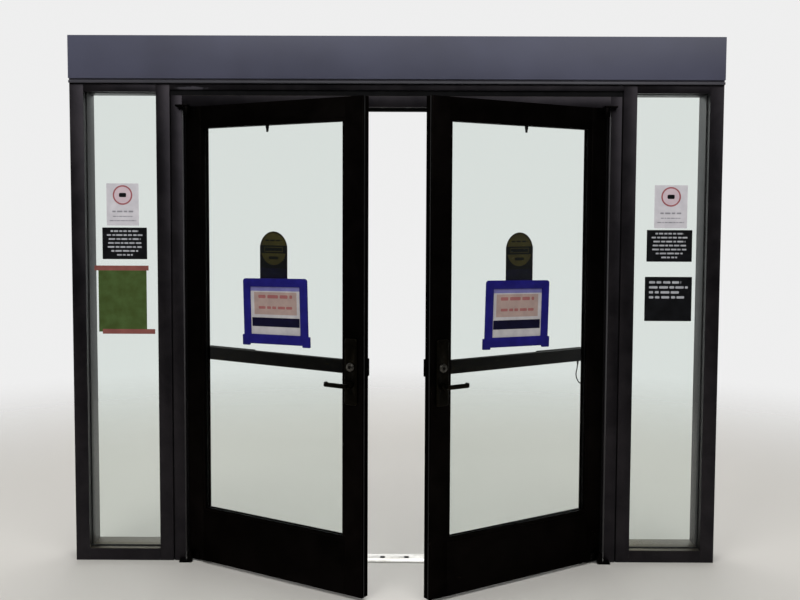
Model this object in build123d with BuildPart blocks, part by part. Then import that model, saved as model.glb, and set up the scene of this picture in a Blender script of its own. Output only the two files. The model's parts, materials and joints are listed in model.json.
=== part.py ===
from build123d import *
from math import cos, hypot, pi, radians, sin, tan
import os

# Pair of out-swinging aluminium storefront doors in their frame, with two sidelites and a header.
# Millimetres. X runs to the right, Y into the building and Z up. The origin is on the floor at the
# middle of the doorway, in the plane of the frame's front face.

# Doorway and leaves
half_opening = 990.6
opening_height = 2137.3
leaf_bottom = 14.3
head_gap = 3.0
hinge_gap = 3.2
meeting_gap = 4.8
leaf_thickness = 44.45
left_open_angle = 31.9
right_open_angle = 33.1
pivot_inset = 19.05
pivot_offset = 19.05
leaf_width = half_opening - hinge_gap - meeting_gap / 2
leaf_top = opening_height - head_gap
pivot_x = half_opening - hinge_gap - pivot_inset

# Leaf members
stile_face = 88.9
top_rail_face = 86.0
bottom_rail_face = 238.1
leaf_wall = 3.2
leaf_corner = 1.2
rib_wall = 2.4
stop_face = 14.3
stop_setback = 1.2
stop_wall = 1.6
stop_gap = 0.25
clip_groove = 1.4
clip_groove_width = 2.6
glass_thickness = 6.35
glass_bite = 9.5
block_length = 100.0
pile_proud = 1.5
pile_width = 6.0
pile_place = 12.0
tab_top = 20.0
tab_tip = 8.0
tab_drop = 27.0
tab_thickness = 5.0
tab_place = leaf_width / 2 - 45.5

# Frame members
frame_depth = 174.6
frame_wall = 3.2
mullion_face = 63.5
sidelite_width = 335.5
sill_height = 57.2
transom_face = 40.7
sidelite_rail_face = 50.8
top_rail_height = 41.0
pocket_depth = 13.0
pane_gap = 1.0
gasket_lip = 2.5
sidelite_glass_y = 46.0
sidelite_gasket = 6.0
door_frame_face = 50.8
door_frame_depth = 114.3
side_joint = 6.1
head_joint = 26.2
stop_projection = 15.9
stop_width = 19.05
seal_clearance = 0.5
seal_width = 8.0
seal_thickness = 3.2
filler_setback = 9.0
filler_gap = 0.2
anchor_low = 300.0
anchor_drop = 359.0
anchor_pitch = 95.0
anchor_radius = 5.5

# Header
fascia_height = 196.0
fascia_proud = 19.0
fascia_sheet = 3.0
lip_height = 12.0
lip_proud = 15.0
lip_chamfer = 1.5
reveal_height = 8.0
reveal_proud = 4.0
back_panel_inset = 12.0

# Threshold and strikes
threshold_front = 19.0
threshold_depth = 101.6
threshold_height = 12.7
threshold_nose = 3.2
threshold_bevel = 15.0
threshold_side_gap = 0.3
flute_count = 6
flute_width = 3.0
flute_depth = 1.0
flute_pitch = 8.0
strike_width = 25.0
strike_length = 32.0
strike_wall = 3.5
strike_clearance = 0.15
strike_depth = 18.0
screw_head = 5.0
screw_shank = 2.0
screw_clearance = 0.15
screw_length = 10.0
screw_places = (0.15 * half_opening, 0.8 * half_opening)

# Pivots
pin_radius = 7.9
running_clearance = 0.05
knuckle_radius = 13.0
knuckle_height = 42.0
knuckle_step = 0.3
arm_thickness = 16.0
arm_flange = 3.2
arm_flange_width = 58.0
arm_flange_start = 5.0
base_height = 8.0
base_tail = 48.0
base_clearance = 0.3
washer_radius = 11.0
washer_thickness = 1.0
pin_height = 30.0

# Exit bar on the inside face
bar_height = 57.2
bar_centre = 992.5
bar_start = 62.0
bar_wall = 3.0
rail_depth = 20.0
bar_projection = 54.0
pad_start = 330.0
pad_clearance = 0.3
pad_travel = 14.0
pad_stop = 1.0
pad_wall = 2.5
pad_round = 5.0
head_start = leaf_width - 99.0
head_end = leaf_width - 27.0
head_height = 75.0
head_projection = 56.0
head_round = 9.0

# Outside trim
trim_backset = 54.6
plate_width = 62.0
plate_bottom = 840.0
plate_top = 1122.0
plate_thickness = 9.5
plate_round = 12.0
plate_chamfer = 2.0
cylinder_z = 1002.0
collar_radius = 20.0
collar_taper = 2.5
collar_thickness = 8.0
shell_radius = 14.5
shell_inset = 0.5
shell_proud = 1.0
plug_radius = 6.4
plug_length = 20.0
plug_proud = 1.0
key_slot = 2.0
key_slot_height = 9.0
lever_z = 926.0
spindle_radius = 8.0
spindle_inset = 1.0
hub_radius = 15.0
hub_length = 22.0
neck_radius = 8.5
lever_standoff = 52.0
lever_length = 108.0
lever_return = 24.0
lever_height = 19.0
lever_thickness = 11.0
lever_bend = 14.0
lever_chamfer = 2.5
lever_gap = 0.3

# Concealed bolts in the lock stile
rod_radius = 4.75
bolt_radius = 6.35
bolt_length = 70.0
bolt_nose = 4.0
bolt_sink = 1.0
guide_height = 38.0
guide_clearance = 0.08
guide_fit = 0.2
rod_link_gap = 24.0

# Sheets, signs and cable
holder_width = 356.0
holder_height = 293.0
left_holder_bottom = 1066.0
right_holder_bottom = 1063.0
holder_centre = leaf_width / 2 + 18.5
holder_tilt = 1.6
holder_round = 14.0
holder_depth = 9.0
holder_side = 39.0
holder_top = 37.0
holder_base = 43.0
holder_back = 2.0
window_round = 3.0
lug_round = 4.0
lug_width = 40.0
lug_reach = 10.0
lug_drop = 8.0
lug_height = 48.0
decal_centre = leaf_width / 2 + 3.0
decal_radius = 77.0
decal_bottom = 1325.0
decal_top = 1567.0
sheet_thickness = 0.5
notice_places = ((-1, -78, 73, 1586, 1783), (-1, -100, 110, 1428, 1577), (-1, -121, 106, 1085, 1386),
                 (1, -69, 85, 1583, 1784), (1, -102, 111, 1426, 1575), (1, -107, 114, 1146, 1355))
cable_radius = 2.6
gland_radius = 5.5
gland_height = 5.0
cable_u, cable_v = 93.0, 74.0
cable_end_u, cable_end_z = 68.0, 851.0
cable_route = ((93, 74, 935), (106, 75, 893), (86, 72, 854), (68, 64, 851))

sides = (("left", 1, left_open_angle, left_holder_bottom),
         ("right", -1, right_open_angle, right_holder_bottom))
bore_radius = pin_radius + running_clearance
daylight_bottom = leaf_bottom + bottom_rail_face + stop_face
daylight_top = leaf_top - top_rail_face - stop_face
glass_front = (leaf_thickness - glass_thickness) / 2
glass_back = glass_front + glass_thickness
gasket_width = glass_front - stop_setback
stop_depth = gasket_width * 0.8
gasket_thickness = gasket_width - stop_depth
leaf_sweep = hypot(pivot_inset, pivot_offset + leaf_thickness) - pivot_offset
seal_front = leaf_sweep + seal_clearance
stop_front = seal_front + seal_thickness
inner_mullion_x = half_opening + door_frame_face + side_joint
outer_mullion_x = inner_mullion_x + mullion_face + sidelite_width
half_width = outer_mullion_x + mullion_face
sidelite_centre = inner_mullion_x + mullion_face + sidelite_width / 2
pocket_width = glass_thickness + 2 * sidelite_gasket
door_head_top = opening_height + door_frame_face
transom_bottom = door_head_top + head_joint
lip_top = transom_bottom + transom_face
sidelite_top = lip_top - sidelite_rail_face
lip_bottom = lip_top - lip_height
fascia_bottom = lip_top + reveal_height
frame_height = fascia_bottom + fascia_height
anchor_high = frame_height - anchor_drop
lock_u = leaf_width - trim_backset


os.makedirs("parts", exist_ok=True)


def keep(piece, name):
    piece.part.label = name
    export_step(piece.part, f"parts/{name}.step")


# Floor plane of a leaf at rest. Its origin is the leaf's hinge corner at the front face, x runs
# to the right along the leaf and y into the building, so a place is (hand * u, v).
def leaf_plane(hand, angle, height=0.0):
    turn = radians(angle)
    along = Vector(cos(turn), -hand * sin(turn), 0)
    inward = Vector(hand * sin(turn), cos(turn), 0)
    pivot = Vector(-hand * pivot_x, -pivot_offset, height)
    corner = pivot - along * (hand * pivot_inset) + inward * pivot_offset
    return Plane(origin=corner, x_dir=along, z_dir=(0, 0, 1))


# Elevation of a leaf seen from outside at a depth v, with z up; extrusions come to the front.
def face_plane(hand, angle, depth=0.0):
    flat = leaf_plane(hand, angle)
    return Plane(origin=flat.from_local_coords((0, depth, 0)), x_dir=flat.x_dir, z_dir=-flat.y_dir)


# Cross section of a leaf at a distance u from its hinge edge, with places (v, z).
def section_plane(hand, angle, u):
    flat = leaf_plane(hand, angle)
    return Plane(origin=flat.from_local_coords((hand * u, 0, 0)), x_dir=flat.y_dir, z_dir=flat.x_dir)


# Side view of the frame at a place along X, with places (y, z).
def frame_section(x):
    return Plane(origin=(x, 0, 0), x_dir=(0, 1, 0), z_dir=(1, 0, 0))


# Open channel of a snap-in stop, its mouth towards -x of the sketch.
def stop_profile(width, depth):
    Rectangle(width, depth)
    with Locations((-stop_wall / 2, 0)):
        Rectangle(width - stop_wall, depth - 2 * stop_wall, mode=Mode.SUBTRACT)


# Stile section: a closed tube whose glazing edge has two grooves for the stops.
def stile(hand, angle, start, glazing_edge):
    with BuildPart() as piece:
        with BuildSketch(leaf_plane(hand, angle, leaf_bottom)) as section:
            with Locations((hand * (start + stile_face / 2), leaf_thickness / 2)):
                Rectangle(stile_face, leaf_thickness)
            fillet(section.vertices(), leaf_corner)
            with Locations((hand * (start + stile_face / 2), leaf_thickness / 2)):
                Rectangle(stile_face - 2 * leaf_wall, leaf_thickness - 2 * leaf_wall, mode=Mode.SUBTRACT)
            for v in (stop_setback + stop_depth / 2, leaf_thickness - stop_setback - stop_depth / 2):
                with Locations((hand * glazing_edge, v)):
                    Rectangle(2 * clip_groove, clip_groove_width, mode=Mode.SUBTRACT)
        extrude(amount=leaf_top - leaf_bottom)
    return piece


# Rail section between the stiles: a tube with a rib across its middle where it is tall.
def rail(hand, angle, bottom, height, ribs):
    length = leaf_width - 2 * stile_face
    with BuildPart() as piece:
        with BuildSketch(section_plane(hand, angle, stile_face)) as section:
            with Locations((leaf_thickness / 2, bottom + height / 2)):
                Rectangle(leaf_thickness, height)
                Rectangle(leaf_thickness - 2 * leaf_wall, height - 2 * leaf_wall, mode=Mode.SUBTRACT)
            for rib in range(ribs):
                with Locations((leaf_thickness / 2, bottom + height * (rib + 1) / (ribs + 1))):
                    Rectangle(leaf_thickness, rib_wall)
        extrude(amount=hand * length)
    return piece


# Four snap-in stops on each side of the glass: level ones full width, upright ones between them.
def glazing_stops(hand, angle):
    low = leaf_bottom + bottom_rail_face
    high = leaf_top - top_rail_face
    clear = leaf_width - 2 * stile_face
    with BuildPart() as piece:
        for v in (stop_setback + stop_depth / 2, leaf_thickness - stop_setback - stop_depth / 2):
            for z, turn in ((low + stop_face / 2, 90), (high - stop_face / 2, -90)):
                with BuildSketch(section_plane(hand, angle, stile_face + stop_gap)):
                    with Locations(Location((v, z), turn)):
                        stop_profile(stop_face, stop_depth)
                extrude(amount=hand * (clear - 2 * stop_gap))
            for u, turn in ((stile_face + stop_gap + stop_face / 2, 0 if hand > 0 else 180),
                            (leaf_width - stile_face - stop_gap - stop_face / 2, 180 if hand > 0 else 0)):
                with BuildSketch(leaf_plane(hand, angle, low + stop_face + stop_gap)):
                    with Locations(Location((hand * u, v), turn)):
                        stop_profile(stop_face, stop_depth)
                extrude(amount=high - low - 2 * (stop_face + stop_gap))
        with BuildSketch(face_plane(hand, angle, leaf_thickness - stop_setback)):
            with BuildLine():
                Polyline((hand * tab_place - tab_top / 2, daylight_top + stop_face / 2),
                         (hand * tab_place - tab_tip / 2, daylight_top - tab_drop),
                         (hand * tab_place + tab_tip / 2, daylight_top - tab_drop),
                         (hand * tab_place + tab_top / 2, daylight_top + stop_face / 2), close=True)
            make_face()
        extrude(amount=-tab_thickness)
    return piece


# Rubber beads on both faces of the glass, two blocks under it and the pile strip at the free edge.
def leaf_seals(hand, angle):
    low = daylight_bottom - stop_face
    high = daylight_top + stop_face
    left = stile_face + stop_gap
    right = leaf_width - stile_face - stop_gap
    edge = stop_face - stop_wall
    with BuildPart() as piece:
        for v in (glass_front - gasket_thickness, glass_back):
            with BuildSketch(face_plane(hand, angle, v)):
                for z in (low + edge / 2, high - edge / 2):
                    with Locations((hand * (left + right) / 2, z)):
                        Rectangle(right - left, edge)
                for u in (left + edge / 2, right - edge / 2):
                    with Locations((hand * u, (low + high) / 2)):
                        Rectangle(edge, high - low - 2 * (edge + stop_gap))
            extrude(amount=-gasket_thickness)
        with BuildSketch(leaf_plane(hand, angle, low)):
            for u in (left + (right - left) / 4, right - (right - left) / 4):
                with Locations((hand * u, leaf_thickness / 2)):
                    Rectangle(block_length, glass_thickness - 2 * stop_gap)
        extrude(amount=stop_face - glass_bite)
        with BuildSketch(leaf_plane(hand, angle, leaf_bottom)):
            with Locations((hand * (leaf_width + pile_proud / 2), pile_place)):
                Rectangle(pile_proud, pile_width)
        extrude(amount=leaf_top - leaf_bottom)
    return piece


def leaf_glass(hand, angle):
    width = leaf_width - 2 * (stile_face + stop_face - glass_bite)
    height = daylight_top - daylight_bottom + 2 * glass_bite
    with BuildPart() as piece:
        with BuildSketch(face_plane(hand, angle, glass_back)):
            with Locations((hand * leaf_width / 2, (daylight_bottom + daylight_top) / 2)):
                Rectangle(width, height)
        extrude(amount=glass_thickness)
    return piece


# Offset pivot arms: a knuckle in front of the face, a neck back to it and a flange on the stile.
def pivot_arms(hand, angle):
    with BuildPart() as piece:
        for low in (base_height + washer_thickness + knuckle_step, leaf_top - knuckle_height):
            foot = max(low, leaf_bottom)
            top = low + knuckle_height
            with BuildSketch(leaf_plane(hand, angle, low)):
                with Locations((hand * pivot_inset, -pivot_offset)):
                    Circle(knuckle_radius)
            extrude(amount=knuckle_height)
            with BuildSketch(leaf_plane(hand, angle, foot)):
                with Locations((hand * pivot_inset, -pivot_offset / 2)):
                    Rectangle(arm_thickness, pivot_offset)
                with Locations((hand * (arm_flange_start + arm_flange_width / 2), -arm_flange / 2)):
                    Rectangle(arm_flange_width, arm_flange)
            extrude(amount=top - foot)
            with BuildSketch(leaf_plane(hand, angle, low)):
                with Locations((hand * pivot_inset, -pivot_offset)):
                    Circle(bore_radius)
            extrude(amount=knuckle_height, mode=Mode.SUBTRACT)
    return piece


# Exit bar rail: a shallow channel screwed to both stiles, its mouth to the inside.
def exit_rail(hand, angle):
    with BuildPart() as piece:
        with BuildSketch(section_plane(hand, angle, bar_start + bar_wall)):
            with Locations((leaf_thickness + rail_depth / 2, bar_centre)):
                Rectangle(rail_depth, bar_height)
            with Locations((leaf_thickness + bar_wall + rail_depth / 2, bar_centre)):
                Rectangle(rail_depth, bar_height - 2 * bar_wall, mode=Mode.SUBTRACT)
        extrude(amount=hand * (head_start - bar_start - bar_wall - pad_clearance))
    return piece


# Push pad: a hollow bar that slides between the rail's flanges.
def push_bar(hand, angle):
    height = bar_height - 2 * (bar_wall + pad_clearance)
    back = leaf_thickness + bar_wall + pad_travel + pad_stop
    front = leaf_thickness + bar_projection
    with BuildPart() as piece:
        with BuildSketch(section_plane(hand, angle, pad_start + pad_clearance)) as section:
            with Locations(((back + front) / 2, bar_centre)):
                Rectangle(front - back, height)
            fillet(section.vertices().sort_by(Axis.X)[-2:], pad_round)
            with Locations(((back + front) / 2 - pad_wall, bar_centre)):
                Rectangle(front - back, height - 2 * pad_wall, mode=Mode.SUBTRACT)
        extrude(amount=hand * (head_start - pad_start - 2 * pad_clearance))
    return piece


# Lock-side head over the stile and the fixed cover with its closed end at the hinge side.
def exit_covers(hand, angle):
    with BuildPart() as piece:
        with BuildSketch(section_plane(hand, angle, head_start)):
            with Locations((leaf_thickness + head_projection / 2, bar_centre)):
                Rectangle(head_projection, head_height)
        head = extrude(amount=hand * (head_end - head_start))
        flat = leaf_plane(hand, angle)
        inside = head.faces().sort_by(Axis(flat.origin, flat.y_dir))[-1]
        fillet(inside.edges(), head_round)
        with BuildSketch(section_plane(hand, angle, bar_start)):
            with Locations((leaf_thickness + bar_projection / 2, bar_centre)):
                Rectangle(bar_projection, bar_height)
        extrude(amount=hand * bar_wall)
        with BuildSketch(section_plane(hand, angle, bar_start + bar_wall)):
            with Locations((leaf_thickness + (rail_depth + bar_projection + pad_clearance) / 2, bar_centre)):
                Rectangle(bar_projection - rail_depth - pad_clearance, bar_height)
                Rectangle(bar_projection - rail_depth - pad_clearance - 2 * bar_wall,
                          bar_height - 2 * bar_wall, mode=Mode.SUBTRACT)
        extrude(amount=hand * (pad_start - bar_start - bar_wall))
    return piece


def trim_plate(hand, angle):
    with BuildPart() as piece:
        with BuildSketch(face_plane(hand, angle)):
            with Locations((hand * lock_u, (plate_bottom + plate_top) / 2)):
                RectangleRounded(plate_width, plate_top - plate_bottom, plate_round)
        extrude(amount=plate_thickness)
        flat = leaf_plane(hand, angle)
        front = piece.faces().sort_by(Axis(flat.origin, flat.y_dir))[0]
        chamfer(front.edges(), plate_chamfer)
        with BuildSketch(face_plane(hand, angle)):
            with Locations((hand * lock_u, lever_z)):
                Circle(spindle_radius + running_clearance)
            with Locations((hand * lock_u, cylinder_z)):
                Circle(shell_radius + running_clearance)
        extrude(amount=plate_thickness, mode=Mode.SUBTRACT)
    return piece


# Plane and axis of a turning square to the leaf at lock_u, with places (radius, v).
def turning(hand, angle, height):
    flat = leaf_plane(hand, angle, height)
    centre = flat.from_local_coords((hand * lock_u, 0, 0))
    return Plane(origin=centre, x_dir=flat.x_dir, z_dir=flat.z_dir), Axis(centre, flat.y_dir)


# Lock cylinder: a tapered collar round the shell, bored for the plug.
def cylinder(hand, angle):
    bore = plug_radius + running_clearance
    front = plate_thickness + collar_thickness
    step = front - shell_proud
    section, axis = turning(hand, angle, cylinder_z)
    with BuildPart() as piece:
        with BuildSketch(section):
            with BuildLine():
                Polyline((bore, -shell_inset), (shell_radius, -shell_inset),
                         (shell_radius, -plate_thickness), (collar_radius, -plate_thickness),
                         (collar_radius - collar_taper, -step), (shell_radius, -step),
                         (shell_radius, -front), (bore, -front), close=True)
            make_face()
        revolve(axis=axis)
    return piece


def key_plug(hand, angle):
    front = plate_thickness + collar_thickness + plug_proud
    length = min(plug_length, front - shell_inset)
    with BuildPart() as piece:
        with BuildSketch(face_plane(hand, angle, -front)):
            with Locations((hand * lock_u, cylinder_z)):
                Circle(plug_radius)
                Rectangle(key_slot, key_slot_height, mode=Mode.SUBTRACT)
        extrude(amount=-length)
    return piece


# Lever: spindle, hub and neck in one turning, with a flat arm that bends back towards the glass.
def lever(hand, angle):
    hub_back = plate_thickness + lever_gap
    hub_front = hub_back + hub_length
    tip = lock_u - lever_length
    section, axis = turning(hand, angle, lever_z)
    with BuildPart() as piece:
        with BuildSketch(leaf_plane(hand, angle, lever_z - lever_height / 2)):
            with BuildLine():
                FilletPolyline((hand * (lock_u + neck_radius), -lever_standoff),
                               (hand * tip, -lever_standoff),
                               (hand * tip, -lever_standoff + lever_return), radius=lever_bend)
            trace(line_width=lever_thickness)
        extrude(amount=lever_height)
        chamfer(piece.faces().filter_by(Axis.Z).edges(), lever_chamfer)
        with BuildSketch(section):
            with BuildLine():
                Polyline((0, -spindle_inset), (spindle_radius, -spindle_inset),
                         (spindle_radius, -hub_back), (hub_radius, -hub_back),
                         (hub_radius, -hub_front), (neck_radius, -hub_front),
                         (neck_radius, -lever_standoff), (0, -lever_standoff), close=True)
            make_face()
        revolve(axis=axis)
    return piece


# Vertical bolt: a thin rod with a stout nose, turned about the bolt's axis in the lock stile.
def bolt(hand, angle, top):
    flat = leaf_plane(hand, angle)
    centre = flat.from_local_coords((hand * lock_u, leaf_thickness / 2, 0))
    tip = leaf_top - bolt_sink if top else leaf_bottom + bolt_sink
    root = bar_centre + rod_link_gap if top else bar_centre - rod_link_gap
    back = 1 if top else -1
    with BuildPart() as piece:
        with BuildSketch(Plane(origin=centre, x_dir=flat.x_dir, z_dir=-flat.y_dir)):
            with BuildLine():
                Polyline((0, root), (rod_radius, root), (rod_radius, tip - back * bolt_length),
                         (bolt_radius, tip - back * bolt_length), (bolt_radius, tip - back * bolt_nose),
                         (bolt_radius - bolt_nose, tip), (0, tip), close=True)
            make_face()
        revolve(axis=Axis(centre, (0, 0, 1)))
    return piece


# Guide blocks that close the lock stile's ends round the bolts.
def bolt_guides(hand, angle):
    width = stile_face - 2 * (leaf_wall + guide_fit)
    depth = leaf_thickness - 2 * (leaf_wall + guide_fit)
    with BuildPart() as piece:
        for low in (leaf_bottom, leaf_top - guide_height):
            with BuildSketch(leaf_plane(hand, angle, low)):
                with Locations((hand * (leaf_width - stile_face / 2), leaf_thickness / 2)):
                    Rectangle(width, depth)
                with Locations((hand * lock_u, leaf_thickness / 2)):
                    Circle(bolt_radius + guide_clearance, mode=Mode.SUBTRACT)
            extrude(amount=guide_height)
    return piece


# Sign holder: a shallow tray with a wide border and a foot at each lower corner, hung a little
# out of level.
def sign_holder(hand, angle, bottom):
    place = Location((hand * holder_centre, bottom + holder_height / 2), hand * holder_tilt)
    window_width = holder_width - 2 * holder_side
    window_height = holder_height - holder_top - holder_base
    window_shift = (holder_base - holder_top) / 2
    lug_place = holder_width / 2 + lug_reach - lug_width / 2
    lug_shift = lug_height / 2 - lug_drop - holder_height / 2
    with BuildPart() as piece:
        with BuildSketch(face_plane(hand, angle, glass_front)):
            with Locations(place):
                RectangleRounded(holder_width, holder_height, holder_round)
                with Locations((-lug_place, lug_shift), (lug_place, lug_shift)):
                    RectangleRounded(lug_width, lug_height, lug_round)
        extrude(amount=holder_depth)
        with BuildSketch(face_plane(hand, angle, glass_front - holder_back)):
            with Locations(place):
                with Locations((0, window_shift)):
                    RectangleRounded(window_width, window_height, window_round)
        extrude(amount=holder_depth, mode=Mode.SUBTRACT)
    return piece


# Sticker on the inside of the glass: a rectangle with a round top.
def decal(hand, angle):
    with BuildPart() as piece:
        with BuildSketch(face_plane(hand, angle, glass_back)):
            centre_z = decal_top - decal_radius
            with Locations((hand * decal_centre, centre_z)):
                Circle(decal_radius)
            with Locations((hand * decal_centre, (decal_bottom + centre_z) / 2)):
                Rectangle(2 * decal_radius, centre_z - decal_bottom)
        extrude(amount=-sheet_thickness)
    return piece


for side, hand, angle, holder_bottom in sides:
    keep(stile(hand, angle, 0, stile_face), f"{side}_hinge_stile")
    keep(stile(hand, angle, leaf_width - stile_face, leaf_width - stile_face), f"{side}_lock_stile")
    keep(rail(hand, angle, leaf_top - top_rail_face, top_rail_face, 0), f"{side}_top_rail")
    keep(rail(hand, angle, leaf_bottom, bottom_rail_face, 2), f"{side}_bottom_rail")
    keep(leaf_glass(hand, angle), f"{side}_glass")
    keep(glazing_stops(hand, angle), f"{side}_glazing_stops")
    keep(leaf_seals(hand, angle), f"{side}_seals")
    keep(pivot_arms(hand, angle), f"{side}_pivot_arms")
    keep(exit_rail(hand, angle), f"{side}_exit_rail")
    keep(exit_covers(hand, angle), f"{side}_exit_covers")
    keep(push_bar(hand, angle), f"{side}_push_bar")
    keep(trim_plate(hand, angle), f"{side}_trim_plate")
    keep(cylinder(hand, angle), f"{side}_cylinder")
    keep(key_plug(hand, angle), f"{side}_key_plug")
    keep(lever(hand, angle), f"{side}_lever")
    keep(bolt(hand, angle, True), f"{side}_top_bolt")
    keep(bolt(hand, angle, False), f"{side}_bottom_bolt")
    keep(bolt_guides(hand, angle), f"{side}_bolt_guides")
    keep(sign_holder(hand, angle, holder_bottom), f"{side}_sign_holder")
    keep(decal(hand, angle), f"{side}_decal")


# Lead from under the exit bar's cover back into the hinge stile of the right leaf.
cable_hand = -1
cable_flat = leaf_plane(cable_hand, right_open_angle)
cable_start = (cable_u, cable_v, bar_centre - bar_height / 2 - gland_height)
cable_end = (cable_end_u, leaf_thickness + gland_height, cable_end_z)
cable_points = [cable_flat.from_local_coords((cable_hand * u, v, z))
                for u, v, z in (cable_start, *cable_route, cable_end)]
runs = [(b - a).length for a, b in zip(cable_points, cable_points[1:])]
turns = [(b - a).get_angle(c - b) for a, b, c in zip(cable_points, cable_points[1:], cable_points[2:])]
radii = [0.45 * min(a, b) / tan(radians(t / 2)) for a, b, t in zip(runs, runs[1:], turns)]
with BuildPart() as exit_cable:
    with BuildLine() as cable_path:
        FilletPolyline(*cable_points, radius=radii)
    with BuildSketch(Plane(origin=cable_path.wire() @ 0, z_dir=cable_path.wire() % 0)):
        Circle(cable_radius)
    sweep()
keep(exit_cable, "right_exit_cable")
print("cable radii", [round(r, 1) for r in radii])
print("cable volume over section times length",
      round(exit_cable.part.volume / (pi * cable_radius ** 2 * cable_path.wire().length), 4))

with BuildPart() as cable_glands:
    for origin, direction in ((cable_points[0], Vector(0, 0, 1)), (cable_points[-1], -cable_flat.y_dir)):
        with BuildSketch(Plane(origin=origin, z_dir=direction)):
            Circle(gland_radius)
        extrude(amount=gland_height)
keep(cable_glands, "right_cable_glands")


def plain_tube(width, height):
    Rectangle(width, height)
    Rectangle(width - 2 * frame_wall, height - 2 * frame_wall, mode=Mode.SUBTRACT)


# Tube with a glazing pocket in one edge, drawn with its face along x and its depth along y.
def pocket_tube(face, toward):
    place = sidelite_glass_y - frame_depth / 2
    plain_tube(face, frame_depth)
    with Locations((toward * (face - pocket_depth - frame_wall) / 2, place)):
        Rectangle(pocket_depth + frame_wall, pocket_width + 2 * frame_wall)
    with Locations((toward * (face - pocket_depth) / 2, place)):
        Rectangle(pocket_depth, pocket_width, mode=Mode.SUBTRACT)


with BuildPart() as outer_mullions:
    for hand in (-1, 1):
        with BuildSketch():
            with Locations((hand * (outer_mullion_x + mullion_face / 2), frame_depth / 2)):
                pocket_tube(mullion_face, -hand)
        extrude(amount=frame_height)
    with BuildSketch(Plane.YZ.offset(-half_width)):
        with Locations((frame_depth / 2, (anchor_low + anchor_high) / 2)):
            with GridLocations(anchor_pitch, anchor_high - anchor_low, 2, 2):
                Circle(anchor_radius)
    extrude(amount=frame_wall, mode=Mode.SUBTRACT)
    with BuildSketch(Plane.YZ.offset(half_width)):
        with Locations((frame_depth / 2, (anchor_low + anchor_high) / 2)):
            with GridLocations(anchor_pitch, anchor_high - anchor_low, 2, 2):
                Circle(anchor_radius)
    extrude(amount=-frame_wall, mode=Mode.SUBTRACT)
keep(outer_mullions, "outer_mullions")

with BuildPart() as inner_mullions:
    for hand in (-1, 1):
        with BuildSketch():
            with Locations((hand * (inner_mullion_x + mullion_face / 2), frame_depth / 2)):
                pocket_tube(mullion_face, hand)
        extrude(amount=frame_height)
keep(inner_mullions, "inner_mullions")

# Level members between the mullions: a rail over each bay and one along the top.
with BuildPart() as cross_rails:
    for hand in (-1, 1):
        with BuildSketch(frame_section(hand * sidelite_centre - sidelite_width / 2)):
            with Locations(Location((frame_depth / 2, lip_top - sidelite_rail_face / 2), -90)):
                pocket_tube(sidelite_rail_face, 1)
        extrude(amount=sidelite_width)
    with BuildSketch(frame_section(-inner_mullion_x)):
        with Locations((frame_depth / 2, transom_bottom + transom_face / 2)):
            plain_tube(frame_depth, transom_face)
    extrude(amount=2 * inner_mullion_x)
    for middle, length in ((-sidelite_centre, sidelite_width), (0, 2 * inner_mullion_x),
                           (sidelite_centre, sidelite_width)):
        with BuildSketch(frame_section(middle - length / 2)):
            with Locations((frame_depth / 2, frame_height - top_rail_height / 2)):
                plain_tube(frame_depth, top_rail_height)
        extrude(amount=length)
keep(cross_rails, "cross_rails")

with BuildPart() as sidelite_sills:
    for hand in (-1, 1):
        with BuildSketch(frame_section(hand * sidelite_centre - sidelite_width / 2)):
            with Locations(Location((frame_depth / 2, sill_height / 2), -90)):
                pocket_tube(sill_height, -1)
        extrude(amount=sidelite_width)
keep(sidelite_sills, "sidelite_sills")

# Sidelite glass enters its pockets on all four sides, and rubber fills the pockets beside it.
pane_bite = pocket_depth - pane_gap
strip_width = pane_bite + gasket_lip
pane_width = sidelite_width + 2 * pane_bite
pane_height = sidelite_top - sill_height + 2 * pane_bite
pane_z = (sidelite_top + sill_height) / 2
with BuildPart() as sidelite_glass:
    with BuildSketch(Plane.XZ.offset(-sidelite_glass_y)):
        with Locations((-sidelite_centre, pane_z), (sidelite_centre, pane_z)):
            Rectangle(pane_width, pane_height)
    extrude(amount=glass_thickness / 2, both=True)
keep(sidelite_glass, "sidelite_glass")

with BuildPart() as sidelite_gaskets:
    strip_x = (sidelite_width + pane_bite - gasket_lip) / 2
    strip_z = (sidelite_top - sill_height + pane_bite - gasket_lip) / 2
    for face in (-1, 1):
        with BuildSketch(Plane.XZ.offset(-sidelite_glass_y - face * glass_thickness / 2)):
            for hand in (-1, 1):
                for place in (-1, 1):
                    with Locations((hand * sidelite_centre + place * strip_x, pane_z)):
                        Rectangle(strip_width, pane_height)
                    with Locations((hand * sidelite_centre, pane_z + place * strip_z)):
                        Rectangle(sidelite_width - 2 * (gasket_lip + filler_gap), strip_width)
        extrude(amount=-face * sidelite_gasket)
keep(sidelite_gaskets, "sidelite_gaskets")

# Header front: a pan proud of the mullions, and below it a stepped lip with a dark reveal.
with BuildPart() as header_fascia:
    with BuildSketch(Plane.XZ):
        with Locations((0, (fascia_bottom + frame_height) / 2)):
            Rectangle(2 * half_width, frame_height - fascia_bottom)
    extrude(amount=fascia_proud)
    with BuildSketch(Plane.XZ):
        with Locations((0, (fascia_bottom + frame_height) / 2)):
            Rectangle(2 * (half_width - fascia_sheet), frame_height - fascia_bottom - 2 * fascia_sheet)
    extrude(amount=fascia_proud - fascia_sheet, mode=Mode.SUBTRACT)
keep(header_fascia, "header_fascia")

with BuildPart() as header_trim:
    with BuildSketch(frame_section(-half_width)):
        with BuildLine():
            Polyline((0, lip_bottom), (-lip_proud, lip_bottom), (-lip_proud, lip_top),
                     (-reveal_proud, lip_top), (-reveal_proud, fascia_bottom), (0, fascia_bottom),
                     close=True)
        make_face()
    extrude(amount=2 * half_width)
    chamfer(header_trim.edges().filter_by(Axis.X).sort_by(Axis.Y)[:2], lip_chamfer)
keep(header_trim, "header_trim")

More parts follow.
